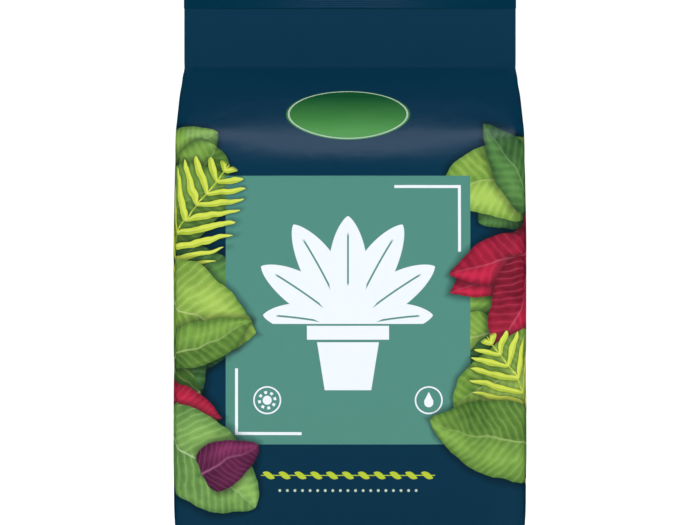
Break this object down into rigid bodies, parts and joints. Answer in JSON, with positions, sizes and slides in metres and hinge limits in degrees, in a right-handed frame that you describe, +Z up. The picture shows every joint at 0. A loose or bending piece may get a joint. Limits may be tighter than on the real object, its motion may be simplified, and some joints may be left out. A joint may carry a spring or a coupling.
{
  "type": "filled compost bag",
  "caption": "Upright sealed film bag of potting mix with side tucks, a sloping shoulder and a flat welded head.",
  "frame": {"origin": "middle of the flat base that the bag stands on", "axes": "+Z up towards the welded head, +X across the front panel to the viewer's right, -Y out of the front panel"},
  "size_m": [0.28, 0.1, 0.48],
  "materials": {
    "printed_film": "satin navy film with a sea green panel and printed foliage"
  },
  "bodies": {
    "root": {"filled_bag": "printed_film"}
  },
  "joints": []
}
